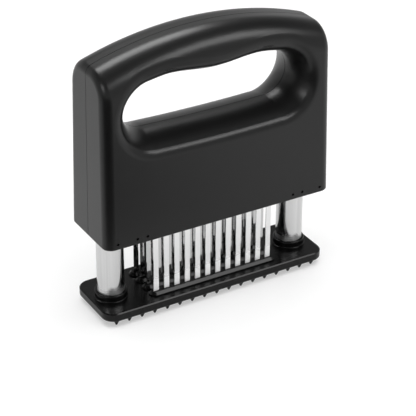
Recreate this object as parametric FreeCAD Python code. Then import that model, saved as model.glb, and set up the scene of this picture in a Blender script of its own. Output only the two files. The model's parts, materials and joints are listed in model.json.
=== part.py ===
import FreeCAD, Part
import math
import os

from FreeCAD import Vector

# Hand-pressed blade meat tenderizer, in millimetres.
# X runs along the tool, Y from front to rear, Z up. The origin lies under the middle of the
# base, on the plane of the tooth tips. The housing is drawn at rest, pushed up by its springs.

# ---- driving dimensions: play between pieces ----
running_clearance = 0.05      # radial play of the columns in their bushes
piece_clearance = 0.3         # gap between parts that pass each other
seat_clearance = 0.05         # gap round a part that sits in a pocket
stroke = 28.0                 # travel of the housing on the columns
stroke_clearance = 0.5        # left above the column ends at full stroke

# ---- housing shells ----
housing_length = 115.0        # at the lower edge
housing_depth = 35.0          # at the lower edge
housing_lift = 2.2            # left between housing and collars at full stroke
end_lean = 0.0185             # how far each end leans in, per millimetre of height
face_lean = 0.0245            # how far each face leans in, per millimetre of height
shell_wall = 2.0
crown_radius = 164.0          # long arch of the grip bar, seen from the front
bar_height = 18.2             # from the finger wave's crests to the crown
bar_edge_radius = 12.0        # rounding of the grip bar's long edges
corner_radius = 4.4           # rounding of the upright corners and the arched ends
inner_corner_radius = 0.8     # least rounding where a wall leaves little
rim_radius = 0.6              # rounding of the lower edge
seam_width = 0.26             # groove where the two shells meet
seam_depth = 0.5
rib_width = 2.0
rib_count = 5                 # webs in each shell that hold the blade holders down
weld_post_radius = 3.0
weld_pin_radius = 1.5
weld_pin_length = 3.0
weld_post_x = 24.0            # the four weld posts stand this far from the middle
weld_post_drop = 1.5          # how far the upper posts stand below the grip bar's middle

# ---- hand opening, at the seam ----
opening_rise = 1.0            # its floor lies this far above the springs' upper seats
opening_floor_sag = 0.5       # dip of the floor's shallow arc
opening_end_margin = 15.3     # from the housing's end to the opening's round end
opening_end_radius = 11.55
opening_end_sweep = 80.0      # degrees of the upper quarter of a round end
finger_run = 9.0              # from the centre of a round end to the wave's nearest crest
finger_rise = 1.2             # crest of the finger wave above the round ends
finger_wave = 1.7             # from the wave's crests down to its dip in the middle
flare_margin = 5.8            # barrel wall's radius, beyond half the housing's depth
flare_steps = 5               # sections of the barrel on each side of the seam
opening_edge_radius = 5.5

# ---- bottom cover ----
cover_thickness = 2.5
cover_rim_height = 6.0
cover_rim_wall = 2.4
cover_rest_width = 4.0        # bridges that carry the holder ends
window_clearance = 0.6        # round the blades in the cover
pin_radius = 0.6
pin_height = 2.7              # above the housing's lower edge
pin_recess = 0.9              # pins end this far below the outer face
pin_bite = 1.8                # length of pin in the cover's rim
pin_offsets = (-9.9, -4.9, 4.6)  # from a column's axis, outwards

# ---- blades and holders ----
rows = 4
blade_pitch = 5.34
blade_width = 2.55
blade_thickness = 0.5
blade_tip_recess = 2.0        # tips at rest, above the underside of the plate
blade_point_height = 3.4
blade_bevel_height = 5.0
blade_edge_thickness = 0.12
holder_seat_height = 4.0      # seats of the holders above the guide bushes
holder_height = 14.0
holder_gap = 0.1
holder_end_margin = 7.5       # least length of holder beyond the outer blades
holder_end_gap = 1.1          # from the holder's end to the stop ring
holder_side_gap = 2.03        # from the outer rows' room to the shell, at the holders' tops
holder_grip = 10.0            # length of blade inside its holder
holder_rod_radius = 1.5
holder_rod_bite = 1.9         # length of rod inside a shell boss
rod_chamfer = 0.3
rod_boss_wall = 1.65
rod_inset = 3.4               # from the holder's end to the rod's axis

# ---- columns, bushes and springs ----
column_radius = 6.2
column_wall = 0.8
column_end_margin = 1.7       # column above its stop ring
bush_wall = 1.25
bush_length = 12.4
bush_ledge = 1.0              # cover material under the bush
bush_boss_wall = 1.8
bush_stand = 4.0              # bush above its boss
stop_ring_height = 2.0
stop_ring_wall = 0.9
plug_height = 6.6
spring_wire = 0.8
spring_radius = 3.8           # to the wire's centre
spring_turns = 14
spring_head_radius = 4.9
spring_head_height = 2.0
spring_rod_radius = 2.8
spring_rod_gap = 5.0          # left under the rod at full stroke
spring_rod_chamfer = 0.8
spigot_radius = 2.0
spigot_height = 3.0
seat_rib_height = 2.0

# ---- base plate ----
base_end_step = 0.2           # plate ends inside the housing's ends
base_side_step = 1.2          # plate sides inside the housing's faces
base_corner_radius = 6.0
base_thickness = 4.1
base_edge_chamfer = 0.45      # along the plate's upper edge
base_lower_edge_radius = 0.8
ridge_height = 1.75
ridge_gap = 0.85              # between neighbouring ridges
ridge_end_margin = 2.2        # ridge length beyond the outer blades
ridge_edge_chamfer = 1.1
slot_clearance = 0.3          # round each blade
collar_wall = 1.2
collar_height = 3.1
collar_flare = 0.5
collar_edge_radius = 0.6
socket_floor_height = 3.2     # plate left under a column
tooth_height = 3.2
tooth_pitch = 6.45
tooth_base = 2.8
tooth_tip = 0.6
tooth_root = 0.2              # let into the plate
tooth_inset = 3.2             # tooth tips lie this far behind the plate's side
tooth_end_margin = 5.5        # least distance from the plate's end to a tooth's tip

# ---- base screws ----
screw_radius = 1.4
screw_length = 7.2            # under the head
screw_tip_gap = 0.5
screw_head_radius = 2.7
screw_head_height = 1.2
screw_head_recess = 0.2       # head above the underside of the plate
screw_head_edge = 0.5
screw_slot_width = 0.8
screw_slot_depth = 0.7
screw_slot_reach = 1.6        # half the length of each arm of the cross slot

# ---- heights, from the tooth tips up ----
base_underside = tooth_height
base_top = base_underside + base_thickness
ridge_top = base_top + ridge_height
collar_top = base_top + collar_height
socket_floor = base_underside + socket_floor_height
plug_top = socket_floor + plug_height
screw_head_bottom = base_underside + screw_head_recess
screw_head_top = screw_head_bottom + screw_head_height
screw_top = screw_head_top + screw_length
housing_bottom = collar_top + stroke + housing_lift
cover_top = housing_bottom + cover_thickness
pin_z = housing_bottom + pin_height
bush_bottom = housing_bottom + bush_ledge
bush_top = bush_bottom + bush_length
boss_top = bush_top - bush_stand
stop_ring_bottom = bush_top + piece_clearance
stop_ring_top = stop_ring_bottom + stop_ring_height
column_top = stop_ring_top + column_end_margin
spring_seat_z = column_top + stroke + stroke_clearance
spring_head_top = spring_seat_z + spring_head_height
spring_rod_bottom = plug_top + stroke + spring_rod_gap
holder_bottom = bush_top + holder_seat_height
holder_top = holder_bottom + holder_height
holder_rod_z = holder_bottom + holder_height / 2.0
blade_tip_z = base_underside + blade_tip_recess
blade_top_z = holder_bottom + holder_grip
opening_floor = spring_seat_z + opening_rise
opening_centre_z = opening_floor + opening_end_radius
finger_crest = opening_centre_z + opening_end_radius + finger_rise
finger_dip = finger_crest - finger_wave
overall_height = finger_crest + bar_height
lower_post_z = (holder_top + opening_floor) / 2.0
upper_post_z = (finger_crest + overall_height) / 2.0 - weld_post_drop


def half_length_at(z, inset=0.0):
    return housing_length / 2.0 - inset - end_lean * (z - housing_bottom)


def half_depth_at(z, inset=0.0):
    return housing_depth / 2.0 - inset - face_lean * (z - housing_bottom)


# ---- lengths and depths, from the middle outwards ----
column_bore = column_radius - column_wall
bush_bore = column_radius + running_clearance
bush_radius = bush_bore + bush_wall
stop_ring_radius = column_radius + stop_ring_wall
column_x = half_length_at(spring_seat_z, shell_wall) - stop_ring_radius - piece_clearance
holder_half_length = column_x - stop_ring_radius - holder_end_gap
holder_rod_x = holder_half_length - rod_inset
rod_boss_radius = holder_rod_radius + rod_boss_wall
rib_spacing = (2.0 * holder_half_length - rib_width) / (rib_count - 1)
row_pitch = 2.0 * (half_depth_at(holder_top, shell_wall) - holder_side_gap) / rows
holder_depth = row_pitch - holder_gap
row_places = [row_pitch * (row - (rows - 1) / 2.0) for row in range(rows)]
row_room = 2.0 * (holder_half_length - holder_end_margin) - blade_width
blades_per_row = int(row_room / blade_pitch) + 1
first_blade_x = -blade_pitch * (blades_per_row - 1) / 2.0
blade_half_span = -first_blade_x + blade_width / 2.0
holder_face = row_places[-1] + holder_depth / 2.0
opening_end_x = housing_length / 2.0 - opening_end_margin - opening_end_radius
finger_crest_x = opening_end_x - finger_run
flare_radius = housing_depth / 2.0 + flare_margin
pin_places = [column_x + offset for offset in pin_offsets]
base_length = housing_length - 2.0 * base_end_step
base_half_depth = housing_depth / 2.0 - base_side_step
ridge_width = row_pitch - ridge_gap
collar_radius = column_radius + collar_wall
tooth_count = int((base_length - 2.0 * tooth_end_margin) / tooth_pitch) + 1
past = 1.0                    # how far a cut runs past what it cuts
tiny = 0.01                   # tolerance when edges are picked by place
big = 4.0 * housing_length    # longer than anything here


def box(x_low, x_high, y_low, y_high, z_low, z_high):
    size = Vector(x_high - x_low, y_high - y_low, z_high - z_low)
    return Part.makeBox(size.x, size.y, size.z, Vector(x_low, y_low, z_low))


def upright(radius, x, y, z_low, z_high):
    return Part.makeCylinder(radius, z_high - z_low, Vector(x, y, z_low))


def crosswise(radius, x, z, y_low, y_high):
    return Part.makeCylinder(radius, y_high - y_low, Vector(x, y_low, z), Vector(0, 1, 0))


def tube(outer, inner, x, y, z_low, z_high):
    return upright(outer, x, y, z_low, z_high).cut(upright(inner, x, y, z_low, z_high))


def prism(points, along):
    wire = Part.makePolygon(points + [points[0]])
    return Part.Face(wire).extrude(along)


def stadium(half_length, width, y, z_low, z_high):
    """Upright block with round ends, lying along X."""
    end = half_length - width / 2.0
    block = box(-end, end, y - width / 2.0, y + width / 2.0, z_low, z_high)
    ends = [upright(width / 2.0, side * end, y, z_low, z_high) for side in (-1, 1)]
    return block.fuse(ends).removeSplitter()


def rounded_block(length, depth, corner, z_low, z_high):
    block = box(-length / 2.0, length / 2.0, -depth / 2.0, depth / 2.0, z_low, z_high)
    corners = [edge for edge in block.Edges if is_upright(edge)]
    return block.makeFillet(corner, corners)


def is_upright(edge):
    bounds = edge.BoundBox
    return bounds.ZLength > past and bounds.XLength < tiny and bounds.YLength < tiny


def middle(edge):
    return edge.valueAt((edge.FirstParameter + edge.LastParameter) / 2.0)


def mirrored_y(shape):
    return shape.mirror(Vector(0, 0, 0), Vector(0, 1, 0))


def compound(shapes):
    return Part.makeCompound(shapes)


# ---- housing ----

def housing_front_half(inset=0.0, bottom=housing_bottom, rim=0.0):
    """Solid front half of the housing, without its opening, drawn in by inset."""
    top = overall_height - inset
    roof = top + past
    front_view = prism(
        [
            Vector(-half_length_at(bottom, inset), 0, bottom),
            Vector(half_length_at(bottom, inset), 0, bottom),
            Vector(half_length_at(roof, inset), 0, roof),
            Vector(-half_length_at(roof, inset), 0, roof),
        ],
        Vector(0, -housing_depth, 0),
    )
    side_view = prism(
        [
            Vector(-housing_length, 0, bottom),
            Vector(-housing_length, -half_depth_at(bottom, inset), bottom),
            Vector(-housing_length, -half_depth_at(roof, inset), roof),
            Vector(-housing_length, 0, roof),
        ],
        Vector(2.0 * housing_length, 0, 0),
    )
    radius = crown_radius - inset
    crown = crosswise(radius, 0, top - radius, -housing_depth, housing_depth)
    crown.rotate(Vector(0, 0, top - radius), Vector(0, 1, 0), 90)
    half = front_view.common(side_view).common(crown)

    bar_edges = [
        edge for edge in half.Edges
        if edge.BoundBox.XLength > housing_length / 2.0
        and middle(edge).z > top - past and middle(edge).y < -past
    ]
    half = half.makeFillet(max(bar_edge_radius - inset, inner_corner_radius), bar_edges)

    end_edges = [
        edge for edge in half.Edges
        if abs(middle(edge).x) > half_length_at(top, inset) - past
        and middle(edge).y < -tiny and middle(edge).z > bottom + tiny
    ]
    half = half.makeFillet(max(corner_radius - inset, inner_corner_radius), end_edges)
    if rim > 0.0:
        lower_edges = [
            edge for edge in half.Edges
            if edge.BoundBox.ZMax < bottom + tiny and edge.BoundBox.YMin < -tiny
        ]
        half = half.makeFillet(rim, lower_edges)
    return half


def opening_outline(growth, y):
    """Outline of the hand opening in the plane y, grown outwards all round."""
    radius = opening_end_radius + growth
    dip = 2.0 * math.atan(opening_floor_sag / opening_end_x)
    low = -math.pi / 2.0 - dip
    high = math.radians(opening_end_sweep)

    def end_point(side, angle):
        x = side * (opening_end_x + radius * math.cos(angle))
        return Vector(x, y, opening_centre_z + radius * math.sin(angle))

    right = Part.Arc(end_point(1, low), end_point(1, 0.0), end_point(1, high))
    left = Part.Arc(end_point(-1, high), end_point(-1, 0.0), end_point(-1, low))
    floor_middle = Vector(0, y, opening_floor - opening_floor_sag - growth)
    base_line = Part.Arc(end_point(-1, low), floor_middle, end_point(1, low))
    wave = Part.BSplineCurve()
    slope = Vector(-math.sin(high), 0, math.cos(high))
    wave.interpolate(
        Points=[
            end_point(1, high),
            Vector(finger_crest_x, y, finger_crest + growth),
            Vector(0, y, finger_dip + growth),
            Vector(-finger_crest_x, y, finger_crest + growth),
            end_point(-1, high),
        ],
        InitialTangent=slope,
        FinalTangent=Vector(slope.x, 0, -slope.z),
    )
    return Part.Wire([part.toShape() for part in (base_line, right, wave, left)])


def opening_cutter(growth=0.0):
    """Barrel-walled hand opening, narrowest at the seam."""
    reach = housing_depth / 2.0 + past
    sections = []
    for step in range(-flare_steps, flare_steps + 1):
        y = reach * step / flare_steps
        flare = flare_radius - math.sqrt(flare_radius ** 2 - y ** 2)
        sections.append(opening_outline(growth + flare, y))
    return Part.makeLoft(sections, True, False)


def weld_posts(front_side, inner):
    """Posts that meet on the seam: pins on the rear half, sockets in the front half."""
    pieces = []
    for x in (-weld_post_x, weld_post_x):
        for z in (lower_post_z, upper_post_z):
            post = crosswise(weld_post_radius, x, z, -housing_depth, 0).common(inner)
            if front_side:
                bore = weld_pin_radius + seat_clearance
                depth = weld_pin_length + piece_clearance
                post = post.cut(crosswise(bore, x, z, -depth, 0))
            else:
                post = post.fuse(crosswise(weld_pin_radius, x, z, 0, weld_pin_length))
            pieces.append(post)
    return pieces


def hold_down_ribs(inner):
    """Upright webs that press the blade holders onto the cover."""
    ribs = []
    for place in range(rib_count):
        x = rib_spacing * (place - (rib_count - 1) / 2.0)
        web = box(x - rib_width / 2.0, x + rib_width / 2.0, -housing_depth, 0,
                  holder_top, opening_floor)
        ribs.append(web.common(inner))
    return ribs


def spring_seat_ribs(inner):
    """Level webs above the columns, which take the push of the springs."""
    high = spring_head_top + seat_rib_height
    ribs = []
    for side in (-1, 1):
        x = side * column_x
        reach = bush_radius + shell_wall
        web = box(x - reach, x + reach, -housing_depth, 0, spring_head_top, high).common(inner)
        bore = upright(spigot_radius + seat_clearance, x, 0, spring_head_top, high)
        ribs.append(web.cut(bore))
    return ribs


def rod_bosses(inner):
    """Blind bosses for the ends of the holder rods."""
    face = -holder_face - seat_clearance
    bosses = []
    for side in (-1, 1):
        x = side * holder_rod_x
        boss = crosswise(rod_boss_radius, x, holder_rod_z, -housing_depth, face).common(inner)
        bore = crosswise(holder_rod_radius + seat_clearance, x, holder_rod_z,
                         face - holder_rod_bite - seat_clearance, face)
        bosses.append(boss.cut(bore))
    return bosses


def front_half_shell(front_side):
    """One half shell on the front side; the rear one is its mirror image."""
    outer = housing_front_half(rim=rim_radius).cut(opening_cutter())
    outer = outer.makeFillet(opening_edge_radius, opening_edges(outer))
    below = housing_bottom - past
    cavity = housing_front_half(shell_wall, below).cut(opening_cutter(shell_wall))
    skin = housing_front_half(seam_depth, below).cut(opening_cutter(seam_depth))
    groove = outer.cut(skin).common(box(-big, big, -seam_width / 2.0, 0, 0, big))

    inner = housing_front_half(shell_wall / 2.0, below).cut(opening_cutter(shell_wall / 2.0))
    features = weld_posts(front_side, inner) + hold_down_ribs(inner)
    features += spring_seat_ribs(inner) + rod_bosses(inner)
    shell = outer.cut(cavity).cut(groove).fuse(features)
    for x in pin_places:
        for side in (-1, 1):
            hole = crosswise(pin_radius + seat_clearance, side * x, pin_z, -housing_depth, 0)
            shell = shell.cut(hole)
    return shell.removeSplitter()


def opening_edges(half):
    """The edges where the flared opening leaves the front of the housing."""
    chosen = []
    for edge in half.Edges:
        point = middle(edge)
        inside_x = abs(point.x) < half_length_at(point.z) - corner_radius
        front = point.y < -half_depth_at(point.z) + bar_edge_radius / 2.0
        in_height = holder_top - past < point.z < overall_height - bar_edge_radius
        if inside_x and front and in_height:
            chosen.append(edge)
    return chosen


def make_bottom_cover():
    gap = shell_wall + seat_clearance
    rim_top = housing_bottom + cover_rim_height

    def slab(inset, low, high):
        half = housing_front_half(inset, low)
        slice_box = box(-big, big, -big, 0, low, high)
        front = half.common(slice_box)
        return front.fuse(mirrored_y(front)).removeSplitter()

    cover = slab(gap, housing_bottom, rim_top)
    cover = cover.cut(slab(gap + cover_rim_wall, cover_top, rim_top + past))
    tall = slab(gap, housing_bottom, holder_bottom)
    for side in (-1, 1):
        boss = upright(bush_radius + bush_boss_wall, side * column_x, 0, housing_bottom, boss_top)
        inner_end = holder_half_length - cover_rest_width
        low_x, high_x = sorted((side * inner_end, side * holder_half_length))
        rest = box(low_x, high_x, -holder_face, holder_face, housing_bottom, holder_bottom)
        cover = cover.fuse([boss.common(tall), rest])
    for side in (-1, 1):
        cover = cover.cut(upright(bush_radius + seat_clearance, side * column_x, 0,
                                  bush_bottom, holder_bottom + past))
        cover = cover.cut(upright(bush_bore + piece_clearance, side * column_x, 0,
                                  housing_bottom - past, bush_bottom))
    window_width = blade_thickness + 2.0 * window_clearance
    for y in row_places:
        window = stadium(blade_half_span + window_width / 2.0, window_width, y,
                         housing_bottom - past, cover_top + past)
        cover = cover.cut(window)
    for x in pin_places:
        for side in (-1, 1):
            face = half_depth_at(pin_z, gap)
            for end in (-1, 1):
                deep = face - pin_bite - seat_clearance
                low, high = sorted((end * deep, end * (face + past)))
                hole = crosswise(pin_radius + seat_clearance, side * x, pin_z, low, high)
                cover = cover.cut(hole)
    return cover.removeSplitter()


def make_cover_pins():
    outer = half_depth_at(pin_z) - pin_recess
    inner = half_depth_at(pin_z, shell_wall + seat_clearance) - pin_bite
    pins = []
    for x in sorted([-place for place in pin_places] + list(pin_places)):
        pins.append(crosswise(pin_radius, x, pin_z, -outer, -inner))
    return compound(pins)


# ---- blades and their holders ----

def make_blade():
    """One blade with a pointed, double-bevelled tip, centred on x = 0 and y = 0."""
    half = blade_width / 2.0
    shoulder = blade_tip_z + blade_point_height
    outline = prism(
        [
            Vector(0, -past, blade_tip_z),
            Vector(half, -past, shoulder),
            Vector(half, -past, blade_top_z),
            Vector(-half, -past, blade_top_z),
            Vector(-half, -past, shoulder),
        ],
        Vector(0, 2.0 * past, 0),
    )
    thick = blade_thickness / 2.0
    edge = blade_edge_thickness / 2.0
    bevel_top = blade_tip_z + blade_bevel_height
    section = prism(
        [
            Vector(-half, -edge, blade_tip_z),
            Vector(-half, edge, blade_tip_z),
            Vector(-half, thick, bevel_top),
            Vector(-half, thick, blade_top_z),
            Vector(-half, -thick, blade_top_z),
            Vector(-half, -thick, bevel_top),
        ],
        Vector(blade_width, 0, 0),
    )
    return outline.common(section)


def make_blade_row(blade, y):
    row = []
    for place in range(blades_per_row):
        copy = blade.copy()
        copy.translate(Vector(first_blade_x + place * blade_pitch, y, 0))
        row.append(copy)
    return compound(row)


def make_holder(y):
    holder = box(-holder_half_length, holder_half_length,
                 y - holder_depth / 2.0, y + holder_depth / 2.0, holder_bottom, holder_top)
    half_width = blade_width / 2.0 + seat_clearance
    half_thick = blade_thickness / 2.0 + seat_clearance
    pockets = []
    for place in range(blades_per_row):
        x = first_blade_x + place * blade_pitch
        pockets.append(box(x - half_width, x + half_width, y - half_thick, y + half_thick,
                           holder_bottom - past, blade_top_z))
    for side in (-1, 1):
        pockets.append(crosswise(holder_rod_radius + seat_clearance, side * holder_rod_x,
                                 holder_rod_z, y - row_pitch, y + row_pitch))
    return holder.cut(pockets)


def row_names():
    """Front and rear rows, with numbered rows between them."""
    between = ["second", "third", "fourth", "fifth", "sixth", "seventh", "eighth"]
    return ["front"] + between[:rows - 2] + ["rear"]


def make_holder_rod(side):
    reach = holder_face + seat_clearance + holder_rod_bite
    rod = crosswise(holder_rod_radius, side * holder_rod_x, holder_rod_z, -reach, reach)
    rims = [edge for edge in rod.Edges if edge.BoundBox.YLength < tiny]
    return rod.makeChamfer(rod_chamfer, rims)


# ---- columns, bushes and springs ----

def make_bush(side):
    return tube(bush_radius, bush_bore, side * column_x, 0, bush_bottom, bush_top)


def make_column(side):
    return tube(column_radius, column_bore, side * column_x, 0, socket_floor, column_top)


def make_column_plug(side):
    x = side * column_x
    plug = upright(column_bore, x, 0, socket_floor, plug_top)
    pilot = upright(screw_radius, x, 0, socket_floor, screw_top + screw_tip_gap)
    return plug.cut(pilot)


def make_stop_ring(side):
    return tube(stop_ring_radius, column_radius, side * column_x, 0,
                stop_ring_bottom, stop_ring_top)


def make_spring(side):
    low = plug_top + spring_wire / 2.0
    high = spring_seat_z - spring_wire / 2.0
    pitch = (high - low) / spring_turns
    path = Part.makeHelix(pitch, high - low, spring_radius)
    start = Vector(spring_radius, 0, 0)
    ring = Part.Wire([Part.makeCircle(spring_wire / 2.0, start, Vector(0, 1, 0))])
    coil = Part.Wire(path).makePipeShell([ring], True, True)
    coil.translate(Vector(side * column_x, 0, low))
    return coil


def make_spring_rod(side):
    x = side * column_x
    shank = upright(spring_rod_radius, x, 0, spring_rod_bottom, spring_seat_z)
    tip = [edge for edge in shank.Edges if edge.BoundBox.ZMax < spring_rod_bottom + tiny]
    shank = shank.makeChamfer(spring_rod_chamfer, tip)
    head = upright(spring_head_radius, x, 0, spring_seat_z, spring_head_top)
    spigot = upright(spigot_radius, x, 0, spring_head_top, spring_head_top + spigot_height)
    return shank.fuse([head, spigot]).removeSplitter()


# ---- base ----

def make_flange():
    flange = rounded_block(base_length, 2.0 * base_half_depth, base_corner_radius,
                           base_underside, base_top)
    upper = [edge for edge in flange.Edges if edge.BoundBox.ZMin > base_top - tiny]
    flange = flange.makeChamfer(base_edge_chamfer, upper)
    lower = [edge for edge in flange.Edges if edge.BoundBox.ZMax < base_underside + tiny]
    return flange.makeFillet(base_lower_edge_radius, lower)


def make_ridge(y):
    half = blade_half_span + ridge_end_margin
    ridge = stadium(half, ridge_width, y, base_top - past, ridge_top)
    upper = [edge for edge in ridge.Edges if edge.BoundBox.ZMin > ridge_top - tiny]
    return ridge.makeChamfer(ridge_edge_chamfer, upper)


def make_collar(side):
    """Round collar with a flared foot, turned about the column's axis."""
    foot = base_top - past
    outer = collar_radius
    start = Vector(0, 0, foot)
    points = [
        start,
        Vector(outer + collar_flare, 0, foot),
        Vector(outer + collar_flare, 0, base_top),
        Vector(outer, 0, base_top + collar_flare),
        Vector(outer, 0, collar_top - collar_edge_radius),
        Vector(outer - collar_edge_radius, 0, collar_top),
        Vector(0, 0, collar_top),
    ]
    turn = math.sqrt(0.5)
    flare_middle = Vector(outer + collar_flare * (1.0 - turn), 0,
                          base_top + collar_flare * (1.0 - turn))
    edge_middle = Vector(outer - collar_edge_radius * (1.0 - turn), 0,
                         collar_top - collar_edge_radius * (1.0 - turn))
    edges = [
        Part.LineSegment(points[0], points[1]),
        Part.LineSegment(points[1], points[2]),
        Part.Arc(points[2], flare_middle, points[3]),
        Part.LineSegment(points[3], points[4]),
        Part.Arc(points[4], edge_middle, points[5]),
        Part.LineSegment(points[5], points[6]),
        Part.LineSegment(points[6], points[0]),
    ]
    face = Part.Face(Part.Wire([edge.toShape() for edge in edges]))
    collar = face.revolve(Vector(0, 0, 0), Vector(0, 0, 1), 360)
    collar.translate(Vector(side * column_x, 0, 0))
    flat = rounded_block(base_length - 2.0 * base_edge_chamfer,
                         2.0 * (base_half_depth - base_edge_chamfer),
                         base_corner_radius - base_edge_chamfer, foot, collar_top)
    return collar.common(flat)


def make_tooth():
    """Four-sided tooth with a small flat tip, its root let into the plate."""
    root = base_underside + tooth_root

    def square(side, z):
        half = side / 2.0
        corners = [Vector(-half, -half, z), Vector(half, -half, z),
                   Vector(half, half, z), Vector(-half, half, z)]
        return Part.makePolygon(corners + [corners[0]])

    return Part.makeLoft([square(tooth_tip, 0), square(tooth_base, root)], True, True)


def make_base_plate():
    plate = make_flange()
    plate = plate.fuse([make_ridge(y) for y in row_places])
    plate = plate.fuse([make_collar(side) for side in (-1, 1)])
    tooth = make_tooth()
    teeth = []
    for place in range(tooth_count):
        x = tooth_pitch * (place - (tooth_count - 1) / 2.0)
        for side in (-1, 1):
            copy = tooth.copy()
            copy.translate(Vector(x, side * (base_half_depth - tooth_inset), 0))
            teeth.append(copy)
    plate = plate.fuse(teeth).removeSplitter()

    cuts = []
    half_width = blade_width / 2.0 + slot_clearance
    half_thick = blade_thickness / 2.0 + slot_clearance
    for y in row_places:
        for place in range(blades_per_row):
            x = first_blade_x + place * blade_pitch
            cuts.append(box(x - half_width, x + half_width, y - half_thick, y + half_thick,
                            -past, ridge_top + past))
    for side in (-1, 1):
        x = side * column_x
        cuts.append(upright(column_radius, x, 0, socket_floor, collar_top + past))
        cuts.append(upright(screw_radius + seat_clearance, x, 0, -past, socket_floor + past))
        cuts.append(upright(screw_head_radius + piece_clearance, x, 0, -past, screw_head_top))
    return plate.cut(cuts)


def make_base_screws():
    screws = []
    for side in (-1, 1):
        x = side * column_x
        head = upright(screw_head_radius, x, 0, screw_head_bottom, screw_head_top)
        rim = [edge for edge in head.Edges if edge.BoundBox.ZMax < screw_head_bottom + tiny]
        head = head.makeFillet(screw_head_edge, rim)
        shank = upright(screw_radius, x, 0, screw_head_top, screw_top)
        screw = head.fuse(shank).removeSplitter()
        half = screw_slot_width / 2.0
        reach = screw_slot_reach
        slot_top = screw_head_bottom + screw_slot_depth
        long_arm = box(x - reach, x + reach, -half, half, 0, slot_top)
        cross_arm = box(x - half, x + half, -reach, reach, 0, slot_top)
        screws.append(screw.cut([long_arm, cross_arm]))
    return compound(screws)


# ---- one file for each node ----

def build():
    nodes = {
        "front_shell": front_half_shell(True),
        "rear_shell": mirrored_y(front_half_shell(False)),
        "bottom_cover": make_bottom_cover(),
        "base_plate": make_base_plate(),
        "base_screws": make_base_screws(),
    }
    front_pins = make_cover_pins()
    nodes["front_cover_pins"] = front_pins
    nodes["rear_cover_pins"] = mirrored_y(front_pins)
    blade = make_blade()
    for name, y in zip(row_names(), row_places):
        nodes[name + "_holder"] = make_holder(y)
        nodes[name + "_blades"] = make_blade_row(blade, y)
    for name, side in (("left", -1), ("right", 1)):
        nodes[name + "_guide_bush"] = make_bush(side)
        nodes[name + "_holder_rod"] = make_holder_rod(side)
        nodes[name + "_spring_rod"] = make_spring_rod(side)
        nodes[name + "_column"] = make_column(side)
        nodes[name + "_column_plug"] = make_column_plug(side)
        nodes[name + "_stop_ring"] = make_stop_ring(side)
        nodes[name + "_spring"] = make_spring(side)
    return nodes


os.makedirs("parts", exist_ok=True)
for node, shape in build().items():
    solids = shape.Solids
    print(node, len(solids), "solids", round(shape.Volume, 1), "mm3", shape.isValid())
    shape.exportStep("parts/" + node + ".step")
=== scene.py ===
import json
import math

import bpy
from mathutils import Matrix, Vector


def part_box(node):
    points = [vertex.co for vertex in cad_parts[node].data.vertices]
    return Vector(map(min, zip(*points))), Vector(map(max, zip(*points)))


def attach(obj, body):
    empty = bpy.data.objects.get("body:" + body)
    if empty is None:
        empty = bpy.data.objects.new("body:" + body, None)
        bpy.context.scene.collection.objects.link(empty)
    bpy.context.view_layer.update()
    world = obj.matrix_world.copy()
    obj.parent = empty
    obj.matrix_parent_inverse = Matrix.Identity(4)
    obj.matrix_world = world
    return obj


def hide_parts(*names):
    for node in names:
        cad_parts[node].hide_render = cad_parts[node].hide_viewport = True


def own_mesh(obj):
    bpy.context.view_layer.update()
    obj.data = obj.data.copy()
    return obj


# Looks of a hand-pressed blade meat tenderizer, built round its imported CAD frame: the finishes of
# all pieces, the blade rows and springs in finer detail, and the studio that they stand in.
# Lengths are in metres. X runs along the tool, Y from front to rear, Z up, tooth tips at z = 0.

MM = 0.001
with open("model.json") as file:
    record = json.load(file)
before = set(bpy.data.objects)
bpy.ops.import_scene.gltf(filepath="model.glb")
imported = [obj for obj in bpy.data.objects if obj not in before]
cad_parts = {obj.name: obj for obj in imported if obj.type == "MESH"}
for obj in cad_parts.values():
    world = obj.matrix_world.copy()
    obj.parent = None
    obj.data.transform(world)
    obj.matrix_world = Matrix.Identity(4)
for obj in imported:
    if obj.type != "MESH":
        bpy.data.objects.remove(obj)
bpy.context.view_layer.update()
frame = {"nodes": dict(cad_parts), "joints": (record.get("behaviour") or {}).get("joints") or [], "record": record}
nodes = frame["nodes"]


# ---- node helpers ----

class Wire:
    """One output socket of a shader tree. Python sums on wires become Math nodes."""

    def __init__(self, tree, socket):
        self.tree = tree
        self.socket = socket

    def __add__(self, other):
        return self.tree.maths("ADD", self, other)

    def __radd__(self, other):
        return self.tree.maths("ADD", other, self)

    def __sub__(self, other):
        return self.tree.maths("SUBTRACT", self, other)

    def __rsub__(self, other):
        return self.tree.maths("SUBTRACT", other, self)

    def __mul__(self, other):
        return self.tree.maths("MULTIPLY", self, other)

    def __truediv__(self, other):
        return self.tree.maths("DIVIDE", self, other)


class Tree:
    """Adds nodes to the node tree of a material, a world or a modifier."""

    def __init__(self, tree):
        self.tree = tree

    def node(self, kind, settings=None, sockets=None):
        made = self.tree.nodes.new(kind)
        for name, value in (settings or {}).items():
            setattr(made, name, value)
        for name, value in (sockets or {}).items():
            self.feed(made.inputs[name], value)
        return made

    def feed(self, socket, value):
        """Sets the socket to a constant, or links it to a wire or another node's socket."""
        if isinstance(value, Wire):
            value = value.socket
        if isinstance(value, bpy.types.NodeSocket):
            self.tree.links.new(value, socket)
        else:
            socket.default_value = value

    def out(self, made, name):
        return Wire(self, made.outputs[name])

    def maths(self, operation, *values):
        """A Math node on the values, each a wire or a number."""
        return self.out(self.node("ShaderNodeMath", {"operation": operation}, dict(enumerate(values))), 0)

    def along(self, axis, place):
        """One coordinate of a place."""
        return self.out(self.node("ShaderNodeSeparateXYZ", None, {"Vector": place}), axis)

    def between(self, wire, low, high):
        """0 below low, 1 above high, straight between."""
        made = self.node("ShaderNodeMapRange", None, {"Value": wire, "From Min": low, "From Max": high})
        return self.out(made, "Result")


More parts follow.
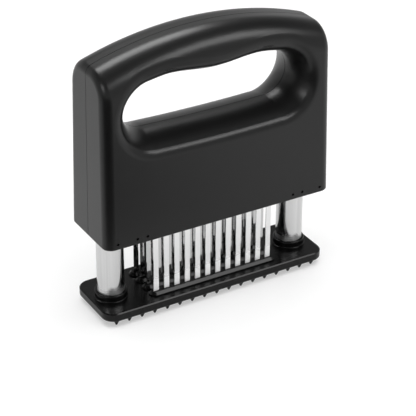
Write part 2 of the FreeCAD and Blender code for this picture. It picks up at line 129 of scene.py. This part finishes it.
class Paint(Tree):
    """Builds one procedural material on Object coordinates.

    The constants are set on the shader's own sockets, with _ for a space in a socket's name.
    """

    def __init__(self, name, **constants):
        self.material = bpy.data.materials.new(name)
        self.material.use_nodes = True
        super().__init__(self.material.node_tree)
        self.shader = self.tree.nodes["Principled BSDF"]
        for socket, value in constants.items():
            self.give(socket.replace("_", " "), value)
        self.place = self.out(self.node("ShaderNodeTexCoord"), "Object")

    def give(self, socket, value):
        self.feed(self.shader.inputs[socket], value)

    def stretched(self, scales):
        """Object coordinates multiplied along X, Y and Z."""
        made = self.node("ShaderNodeMapping", None, {"Vector": self.place, "Scale": scales})
        return self.out(made, "Vector")

    def noise(self, scale, detail=2.0, vector=None):
        """Noise from 0 to 1, with scale swells to the metre."""
        made = self.node("ShaderNodeTexNoise", None,
                         {"Vector": vector or self.place, "Scale": scale, "Detail": detail})
        return self.out(made, "Fac")

    def lines(self, scales):
        """Noise drawn out along the axis with the least scale."""
        return self.noise(1.0, detail=3.0, vector=self.stretched(scales))

    def blend(self, share, first, second):
        """Colour from first to second, as the share wire goes from 0 to 1."""
        made = self.node("ShaderNodeMix", {"data_type": "RGBA"}, {0: share, 6: first, 7: second})
        return self.out(made, 2)

    def relief(self, height, depth):
        """Gives the surface a bump, depth in metres."""
        made = self.node("ShaderNodeBump", None, {"Height": height, "Distance": depth, "Strength": 1.0})
        self.give("Normal", self.out(made, "Normal"))


def grey(level):
    return (level, level, level, 1.0)


# ---- materials ----

MOTTLE_SCALE = 60.0             # flow marks in moulded plastic, to the metre
HANDLING_SCALE = 25.0           # patches dulled by handling
CLOUD_SCALE = 150.0             # cloudiness of undyed plastic
PLASTIC_IOR = 1.38              # below that of clear plastic, as the grain breaks up the mirroring
BASE_IOR = 1.31                 # the base plate mirrors less still

UPRIGHT = (9000.0, 9000.0, 300.0)       # noise scales of fine grinding lines along Z
CROSSWISE = (9000.0, 300.0, 9000.0)     # the same along Y
EVEN_GRAIN = (3000.0, 3000.0, 3000.0)
SCREW_GRAIN = (3000.0, 3000.0, 800.0)
LINE_DEPTH = 0.1e-6
LINE_GREY = 0.9                 # share of the steel's grey in its darkest lines
LINE_ROUGHNESS = 0.06           # added to the steel's roughness in its roughest lines

TUBE_LINES = (900.0, 900.0, 6.0)        # long lines of a drawn tube
TUBE_LINE_EDGE = (0.3, 0.7)     # the lines' noise is stretched from here to full contrast
TUBE_LINE_DEPTH = 0.5e-6
TUBE_FOOT = (11.5 * MM, 15.0 * MM)      # the tube is dull below the first, polished above the second
TUBE_ROUGHNESS = 0.10           # where polished
FOOT_DULLING = 0.24             # added to it at the foot
SMUDGE_SCALE = 90.0
SMUDGE_DULLING = 0.06           # added to it in the worst smudges

FROST_EDGE = (13.2 * MM, 16.5 * MM)     # blades are frosted below the first, bright above the second
FROST_METALLIC = 0.15
FROST_ROUGHNESS = 0.40
BRIGHT_ROUGHNESS = 0.06
BLADE_LINE_ROUGHNESS = 0.05


def moulded_black(name, dark, light, roughness, wear, grain, depth, ior=PLASTIC_IOR):
    """Black plastic with faint flow mottling, uneven gloss and the fine grain of its mould."""
    paint = Paint(name, IOR=ior)
    mottle = paint.noise(MOTTLE_SCALE, detail=3.0)
    paint.give("Base Color", paint.blend(mottle, grey(dark), grey(light)))
    handled = paint.noise(HANDLING_SCALE, detail=4.0)
    paint.give("Roughness", roughness + (handled - 0.5) * wear)
    paint.relief(paint.noise(grain), depth)
    return paint.material


def natural_plastic(name, dark, light, roughness, grain, depth):
    """Undyed plastic, slightly cloudy."""
    paint = Paint(name, Roughness=roughness)
    cloud = paint.noise(CLOUD_SCALE, detail=3.0)
    paint.give("Base Color", paint.blend(cloud, dark, light))
    paint.relief(paint.noise(grain), depth)
    return paint.material


def polished_tube(name, dark, light):
    """Polished stainless tube with faint drawing lines, smudges and a duller foot."""
    paint = Paint(name, Metallic=1.0)
    drawn = paint.lines(TUBE_LINES)
    paint.give("Base Color", paint.blend(paint.between(drawn, *TUBE_LINE_EDGE), grey(dark), grey(light)))
    smudge = paint.noise(SMUDGE_SCALE, detail=3.0)
    dulled = 1.0 - paint.between(paint.along("Z", paint.place), *TUBE_FOOT)
    paint.give("Roughness", TUBE_ROUGHNESS + smudge * SMUDGE_DULLING + dulled * FOOT_DULLING)
    paint.relief(drawn, TUBE_LINE_DEPTH)
    return paint.material


def ground_steel(name, level, roughness, scales):
    """Stainless steel with the lines of its grinding or drawing."""
    paint = Paint(name, Metallic=1.0)
    lines = paint.lines(scales)
    paint.give("Base Color", paint.blend(lines, grey(level * LINE_GREY), grey(level)))
    paint.give("Roughness", roughness + lines * LINE_ROUGHNESS)
    paint.relief(lines, LINE_DEPTH)
    return paint.material


def frosted_blade(name, dark, light, frost):
    """Polished blade steel whose lower end, down to the point, is frosted by the grinding wheel."""
    paint = Paint(name)
    lines = paint.lines(UPRIGHT)
    polished = paint.between(paint.along("Z", paint.place), *FROST_EDGE)
    steel = paint.blend(lines, grey(dark), grey(light))
    paint.give("Base Color", paint.blend(polished, grey(frost), steel))
    paint.give("Metallic", FROST_METALLIC + polished * (1.0 - FROST_METALLIC))
    smoother = polished * (FROST_ROUGHNESS - BRIGHT_ROUGHNESS)
    paint.give("Roughness", FROST_ROUGHNESS - smoother + lines * BLADE_LINE_ROUGHNESS)
    paint.relief(lines, LINE_DEPTH)
    return paint.material


finishes = {
    "housing_plastic": moulded_black("satin_black_housing", dark=0.006, light=0.008, roughness=0.30,
                                     wear=0.06, grain=7000.0, depth=1.6e-6),
    "cover_plastic": moulded_black("matte_black_cover", dark=0.009, light=0.012, roughness=0.42,
                                   wear=0.06, grain=6000.0, depth=3.0e-6),
    "base_plastic": moulded_black("gloss_black_base", dark=0.003, light=0.004, roughness=0.25,
                                  wear=0.06, grain=2500.0, depth=0.4e-6, ior=BASE_IOR),
    "holder_plastic": moulded_black("matte_black_holder", dark=0.012, light=0.016, roughness=0.45,
                                    wear=0.08, grain=5000.0, depth=3.0e-6),
    "pin_plastic": moulded_black("black_pin", dark=0.003, light=0.004, roughness=0.55,
                                 wear=0.05, grain=5000.0, depth=2.0e-6),
    "bush_plastic": natural_plastic("natural_bush", dark=(0.70, 0.69, 0.64, 1.0),
                                    light=(0.76, 0.75, 0.71, 1.0), roughness=0.45,
                                    grain=4000.0, depth=1.0e-6),
    "column_steel": polished_tube("polished_column", dark=0.58, light=0.66),
    # level 0.60, darker than the outer rows' 0.84, is painted shade standing for the shade between the inner blade
    # rows
    "blade_steel": ground_steel("ground_blade", level=0.60, roughness=0.05, scales=UPRIGHT),
    "rod_steel": ground_steel("turned_rod", level=0.60, roughness=0.22, scales=CROSSWISE),
    "spring_steel": ground_steel("spring_wire", level=0.55, roughness=0.25, scales=EVEN_GRAIN),
    "screw_steel": ground_steel("screw_head", level=0.62, roughness=0.22, scales=SCREW_GRAIN),
}

for part in frame["record"]["subparts"]:
    shown = nodes[part["node"]]
    shown.data.materials.clear()
    shown.data.materials.append(finishes[part["material_slot"]])


# ---- pieces that take a CAD node's place ----

def new_object(name, data):
    made = bpy.data.objects.new(name, data)
    bpy.context.scene.collection.objects.link(made)
    return made


def take_place(piece, node, material):
    """The piece wears the material and stands for the CAD node, on that node's body."""
    record = frame["record"]
    body = next(name for name, held in record["behaviour"]["bodies"].items() if node in held)
    piece.data.materials.clear()
    piece.data.materials.append(material)
    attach(piece, body)
    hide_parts(node)
    slot = next(part["material_slot"] for part in record["subparts"] if part["node"] == node)


class Growth(Tree):
    """One Geometry Nodes tree with named inputs; grow() turns its result into a plain mesh."""

    def __init__(self, name, **inputs):
        super().__init__(bpy.data.node_groups.new(name, "GeometryNodeTree"))
        self.identifiers = {}
        for label, kind in inputs.items():
            made = self.tree.interface.new_socket(label, in_out="INPUT", socket_type="NodeSocket" + kind)
            self.identifiers[label] = made.identifier
        self.tree.interface.new_socket("Result", in_out="OUTPUT", socket_type="NodeSocketGeometry")
        self.given = self.node("NodeGroupInput").outputs

    def close(self, geometry):
        """Ends the tree in real geometry that wears the finish."""
        real = self.node("GeometryNodeRealizeInstances", None, {"Geometry": geometry})
        worn = self.node("GeometryNodeSetMaterial", None,
                         {"Geometry": real.outputs["Geometry"], "Material": self.given["Finish"]})
        self.node("NodeGroupOutput", None, {"Result": worn.outputs["Geometry"]})

    def grow(self, piece, **values):
        grown = piece.modifiers.new("growth", "NODES")
        grown.node_group = self.tree
        for label, value in values.items():
            grown[self.identifiers[label]] = value
        graph = bpy.context.evaluated_depsgraph_get()
        mesh = bpy.data.meshes.new_from_object(piece.evaluated_get(graph), depsgraph=graph)
        piece.modifiers.clear()
        piece.data = mesh


# ---- blade rows ----

BLADES_IN_ROW = 12
BLADE_PITCH = 5.34 * MM
POINT_HEIGHT = 3.4 * MM         # of the blade's pointed end
GRIND_HEIGHT = 5.0 * MM         # of the bevels ground on both faces
EDGE_THICKNESS = 0.12 * MM
ARRIS = 0.05 * MM               # softening of the blade's edges


def blade_mesh(name, low, high):
    """The first blade of a row whose CAD box is low to high.

    Corners 0 and 1 are the ends of the point's edge. Rings of four corners follow, at the top of
    the point from 2, at the top of the grind from 6, and at the top of the blade from 10.
    """
    width = high.x - low.x - BLADE_PITCH * (BLADES_IN_ROW - 1)
    middle = (low.y + high.y) / 2.0
    full = (high.y - low.y) / 2.0
    sharp = EDGE_THICKNESS / 2.0
    shoulder = sharp + (full - sharp) * POINT_HEIGHT / GRIND_HEIGHT
    left = low.x
    right = low.x + width
    point = (left + right) / 2.0
    points = [(point, middle - sharp, low.z), (point, middle + sharp, low.z)]
    for z, half in ((low.z + POINT_HEIGHT, shoulder), (low.z + GRIND_HEIGHT, full), (high.z, full)):
        points += [(left, middle - half, z), (right, middle - half, z),
                   (right, middle + half, z), (left, middle + half, z)]
    faces = [(0, 3, 2), (1, 5, 4), (0, 2, 5, 1), (0, 1, 4, 3), (10, 11, 12, 13)]
    for ring in (2, 6):
        for corner in range(4):
            beside = (corner + 1) % 4
            faces.append((ring + corner, ring + beside, ring + 4 + beside, ring + 4 + corner))
    mesh = bpy.data.meshes.new(name)
    mesh.from_pydata(points, [], faces)
    return mesh


def make_row_growth():
    growth = Growth("repeat_along_x", Piece="Geometry", Count="Int", Pitch="Float", Finish="Material")
    step = growth.node("ShaderNodeCombineXYZ", None, {"X": growth.given["Pitch"]})
    line = growth.node("GeometryNodeMeshLine", {"mode": "OFFSET"},
                       {"Count": growth.given["Count"], "Offset": step.outputs["Vector"]})
    copies = growth.node("GeometryNodeInstanceOnPoints", None,
                         {"Points": line.outputs["Mesh"], "Instance": growth.given["Piece"]})
    growth.close(copies.outputs["Instances"])
    return growth


row_growth = make_row_growth()
row_finishes = {
    "front": frosted_blade("frosted_blade", dark=0.76, light=0.84, frost=0.90),
    # the second and third rows wear the darker grey: painted shade between the rows
    "second": finishes["blade_steel"],
    "third": finishes["blade_steel"],
    "rear": ground_steel("bright_blade", level=0.84, roughness=0.05, scales=UPRIGHT),
}
front_row = bpy.data.collections.new("front_row")
for row, finish in row_finishes.items():
    node = row + "_blades"
    blades = new_object(row + "_blade_row", blade_mesh(row + "_blade", *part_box(node)))
    soft = blades.modifiers.new("soften", "BEVEL")
    soft.width = ARRIS
    soft.segments = 2
    soft.limit_method = "ANGLE"
    row_growth.grow(blades, Count=BLADES_IN_ROW, Pitch=BLADE_PITCH, Finish=finish)
    take_place(blades, node, finish)
    if row == "front":
        front_row.objects.link(blades)


# ---- springs ----

SPRING_WIRE = 0.8 * MM
SPRING_TURNS = 14
CLOSED_TURNS = 1.5              # turns at each end that lie on each other
POINTS_IN_TURN = 28
CORNERS_ROUND_WIRE = 10


def spring_path(name, low, high):
    """Centre line of a compression spring with closed ends, low to high being its box."""
    radius = (high.x - low.x - SPRING_WIRE) / 2.0
    centre = (low + high) / 2.0
    bottom = low.z + SPRING_WIRE / 2.0
    length = high.z - low.z - SPRING_WIRE
    open_turns = SPRING_TURNS - 2.0 * CLOSED_TURNS
    open_pitch = (length - 2.0 * CLOSED_TURNS * SPRING_WIRE) / open_turns
    points = []
    for step in range(SPRING_TURNS * POINTS_IN_TURN + 1):
        turns = step / POINTS_IN_TURN
        closed = min(turns, CLOSED_TURNS) + max(turns - CLOSED_TURNS - open_turns, 0.0)
        rise = closed * SPRING_WIRE + (turns - closed) * open_pitch
        angle = 2.0 * math.pi * turns
        points.append((centre.x + radius * math.cos(angle), centre.y + radius * math.sin(angle),
                       bottom + rise))
    mesh = bpy.data.meshes.new(name)
    mesh.from_pydata(points, [(step, step + 1) for step in range(len(points) - 1)], [])
    return mesh


def make_wire_growth():
    growth = Growth("wire_along_path", Path="Geometry", Radius="Float", Finish="Material")
    curve = growth.node("GeometryNodeMeshToCurve", None, {"Mesh": growth.given["Path"]})
    section = growth.node("GeometryNodeCurvePrimitiveCircle", None,
                          {"Resolution": CORNERS_ROUND_WIRE, "Radius": growth.given["Radius"]})
    wire = growth.node("GeometryNodeCurveToMesh", None,
                       {"Curve": curve.outputs["Curve"], "Profile Curve": section.outputs["Curve"],
                        "Fill Caps": True})
    growth.close(wire.outputs["Mesh"])
    return growth


wire_growth = make_wire_growth()
stroke = next(joint for joint in frame["joints"] if joint["name"] == "press_stroke")
pressed_by = max(abs(limit) for limit in stroke["range_m"])
for side in ("left", "right"):
    node = side + "_spring"
    low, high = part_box(node)
    coil = new_object(side + "_coil", spring_path(side + "_coil", low, high))
    wire_growth.grow(coil, Radius=SPRING_WIRE / 2.0, Finish=finishes["spring_steel"])
    coil.data.shade_smooth()
    take_place(coil, node, finishes["spring_steel"])
    1.0 - pressed_by / (high.z - low.z)
    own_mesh(coil)


# ---- studio ----

FLOOR_HALF = 6.0
FLOOR_LEVEL = 0.85              # the floor's own grey
GLOW = 1.5                      # strength of the glow that is mixed into it
SEEN_GLOW = 0.30                # share of glow that the camera sees, beside the object
WHITE_FLOOR = (0.30, 0.90)      # distances between which that share grows to all
MIRRORED_GLOW = 0.10            # share of glow in the floor that glossy parts mirror
# RIGHT_GLOW and LEFT_SHADE are a painted glow and painted shade, seen only in reflections on glossy parts
RIGHT_GLOW = 0.30               # added to it in front of the right end
LEFT_SHADE = 0.50               # taken off the mirrored floor in front of the left end
IN_FRONT = (0.078, 0.105)       # distances in front between which those two set in
LEFT_TO_MIDDLE = (0.0, 0.09)    # the left shade ends over this stretch of X
MIDDLE_TO_RIGHT = (0.05, 0.13)  # and the right glow sets in over this one
# Painted dark patch in the floor, seen only in reflections on glossy parts
DARK_SIDE = (-0.64, -0.77)      # the mirrored floor is dark this way from the object
DARK_SECTOR = (0.60, 0.92)      # cosine of the angle to that way, where the dark sets in
DARK_FROM = (0.100, 0.125)      # distance that way, where the dark sets in

SKY_FADE = (0.10, 0.71)         # heights on the sky between which its light fades
LOW_SKY = 0.72
HIGH_SKY = 0.096
SEEN_SKY = 1.0                  # the backdrop is white to the camera


def make_floor():
    """Pale floor. The camera sees it turn white beyond the shadow.

    Glossy parts mirror it with painted reflections that the camera does not see: a painted dark patch towards the
    viewpoint, painted shade in front of the left end and a painted glow in front of the right end.
    """
    mesh = bpy.data.meshes.new("floor")
    mesh.from_pydata([(-FLOOR_HALF, -FLOOR_HALF, 0), (FLOOR_HALF, -FLOOR_HALF, 0),
                      (FLOOR_HALF, FLOOR_HALF, 0), (-FLOOR_HALF, FLOOR_HALF, 0)],
                     [], [(0, 1, 2, 3)])
    floor = new_object("floor", mesh)
    paint = Paint("pale_floor", Roughness=1.0, Base_Color=grey(FLOOR_LEVEL))
    rays = paint.node("ShaderNodeLightPath")
    seen = paint.out(rays, "Is Camera Ray")
    mirrored = paint.maths("MAXIMUM", paint.out(rays, "Is Glossy Ray"),
                           paint.out(rays, "Is Transmission Ray"))
    x = paint.along("X", paint.place)
    y = paint.along("Y", paint.place)
    far = paint.maths("SQRT", x * x + y * y)

    # Painted reflections: glossy rays see a painted dark patch, painted shade on the left and a painted glow on
    # the right
    toward = x * DARK_SIDE[0] + y * DARK_SIDE[1]
    painted_dark_patch = mirrored * paint.between(toward / far, *DARK_SECTOR) * paint.between(toward, *DARK_FROM)
    in_front = paint.between(y * -1.0, *IN_FRONT)
    leftwards = 1.0 - paint.between(x, *LEFT_TO_MIDDLE)
    rightwards = in_front * paint.between(x, *MIDDLE_TO_RIGHT)
    # lit is the share of the floor kept after the painted dark patch and the painted shade on the left, not real
    # lighting
    lit = (1.0 - painted_dark_patch) * (1.0 - mirrored * in_front * leftwards * LEFT_SHADE)
    seen_share = SEEN_GLOW + paint.between(far, *WHITE_FLOOR) * (1.0 - SEEN_GLOW)
    mirrored_share = MIRRORED_GLOW + rightwards * RIGHT_GLOW
    glow_share = seen * seen_share + mirrored * mirrored_share

    glow = paint.node("ShaderNodeEmission", None, {"Color": grey(1.0), "Strength": GLOW})
    glowing = paint.node("ShaderNodeMixShader", None, {0: glow_share, 1: paint.out(paint.shader, "BSDF"),
                                                       2: paint.out(glow, "Emission")})
    dark = paint.node("ShaderNodeEmission", None, {"Color": grey(0.0), "Strength": 0.0})
    shaded = paint.node("ShaderNodeMixShader", None, {0: lit, 1: paint.out(dark, "Emission"),
                                                      2: paint.out(glowing, "Shader")})
    output = paint.tree.nodes["Material Output"]
    paint.feed(output.inputs["Surface"], paint.out(shaded, "Shader"))
    mesh.materials.append(paint.material)


def make_world():
    """Backdrop: white to the camera, and to all else bright at the horizon and dim overhead."""
    world = bpy.data.worlds.new("studio")
    bpy.context.scene.world = world
    world.use_nodes = True
    world.node_tree.nodes.clear()
    sky = Tree(world.node_tree)
    height = sky.along("Z", sky.out(sky.node("ShaderNodeTexCoord"), "Generated"))
    fade = sky.node("ShaderNodeMapRange", {"interpolation_type": "SMOOTHSTEP"},
                    {"Value": height, "From Min": SKY_FADE[0], "From Max": SKY_FADE[1],
                     "To Min": LOW_SKY, "To Max": HIGH_SKY})
    seen = sky.out(sky.node("ShaderNodeLightPath"), "Is Camera Ray")
    level = sky.node("ShaderNodeMix", None, {0: seen, 2: sky.out(fade, "Result"), 3: SEEN_SKY})
    light = sky.node("ShaderNodeBackground", None, {"Color": grey(1.0), "Strength": level.outputs[0]})
    sky.node("ShaderNodeOutputWorld", None, {"Surface": light.outputs[0]})


def make_softbox(name, place, target, width, height, radiance, mirrored=True, lights_matte=True,
                 only=None):
    """A rectangular lamp that faces the target.

    mirrored says whether glossy surfaces show it, and lights_matte whether matte ones are lit by it.
    With only, it lights nothing but that collection.
    """
    lamp = bpy.data.lights.new(name, "AREA")
    lamp.shape = "RECTANGLE"
    lamp.size = width
    lamp.size_y = height
    lamp.energy = radiance * math.pi * width * height
    box = new_object(name, lamp)
    box.visible_glossy = mirrored
    box.visible_diffuse = lights_matte
    box.light_linking.receiver_collection = only
    box.location = place
    box.rotation_mode = "QUATERNION"
    box.rotation_quaternion = (Vector(target) - Vector(place)).to_track_quat("-Z", "Y")


def make_camera():
    """The viewpoint: left of the front and above, from about 0.7 m."""
    place = Vector((-309.6203, -528.8438, 385.1163)) * MM
    yaw, pitch, roll = (math.radians(turn) for turn in (-30.7715, -29.4435, 0.4435))
    frame_width = 416.0
    focal_px = 1557.3707
    middle_px = (212.4087, 206.2883)
    ahead = Vector((-math.sin(yaw) * math.cos(pitch), math.cos(yaw) * math.cos(pitch),
                    math.sin(pitch)))
    level = Vector((math.cos(yaw), math.sin(yaw), 0.0))
    over = level.cross(ahead)
    right = math.cos(roll) * level + math.sin(roll) * over
    up = math.cos(roll) * over - math.sin(roll) * level
    data = bpy.data.cameras.new("camera")
    data.sensor_width = 36.0
    data.lens = focal_px / frame_width * data.sensor_width
    data.shift_x = (frame_width / 2.0 - middle_px[0]) / frame_width
    data.shift_y = (middle_px[1] - frame_width / 2.0) / frame_width
    data.clip_start = 0.05
    data.clip_end = 20.0
    camera = new_object("camera", data)
    turn = Matrix((right, up, -ahead)).transposed().to_4x4()
    camera.matrix_world = Matrix.Translation(place) @ turn
    bpy.context.scene.camera = camera


GRIP = (0, 0, 90 * MM)
MIDDLE = (0, 0, 50 * MM)
BLADE_ENDS = (0, 0, 12 * MM)
FLOOR_CENTRE = (0, 0, 0)

make_floor()
make_world()
make_softbox("overhead_fill", place=(0.0, -0.10, 1.20), target=FLOOR_CENTRE, width=1.40, height=1.40,
             radiance=3.1, mirrored=False)
make_softbox("rear_softbox", place=(0.02, 0.38, 0.74), target=MIDDLE, width=0.60, height=0.34,
             radiance=8.5, lights_matte=False)
make_softbox("front_softbox", place=(0.42, -0.62, 0.80), target=GRIP, width=0.84, height=0.30,
             radiance=6.8, lights_matte=False)
make_softbox("camera_side_softbox", place=(-0.78, -0.38, 0.55), target=GRIP, width=0.30, height=0.20,
             radiance=7.0, lights_matte=False)
make_softbox("blade_fill", place=(0.15, -0.90, 0.35), target=BLADE_ENDS, width=0.6, height=0.4,
             radiance=3.7, mirrored=False, only=front_row)
make_camera()
bpy.context.scene.view_settings.view_transform = "Standard"
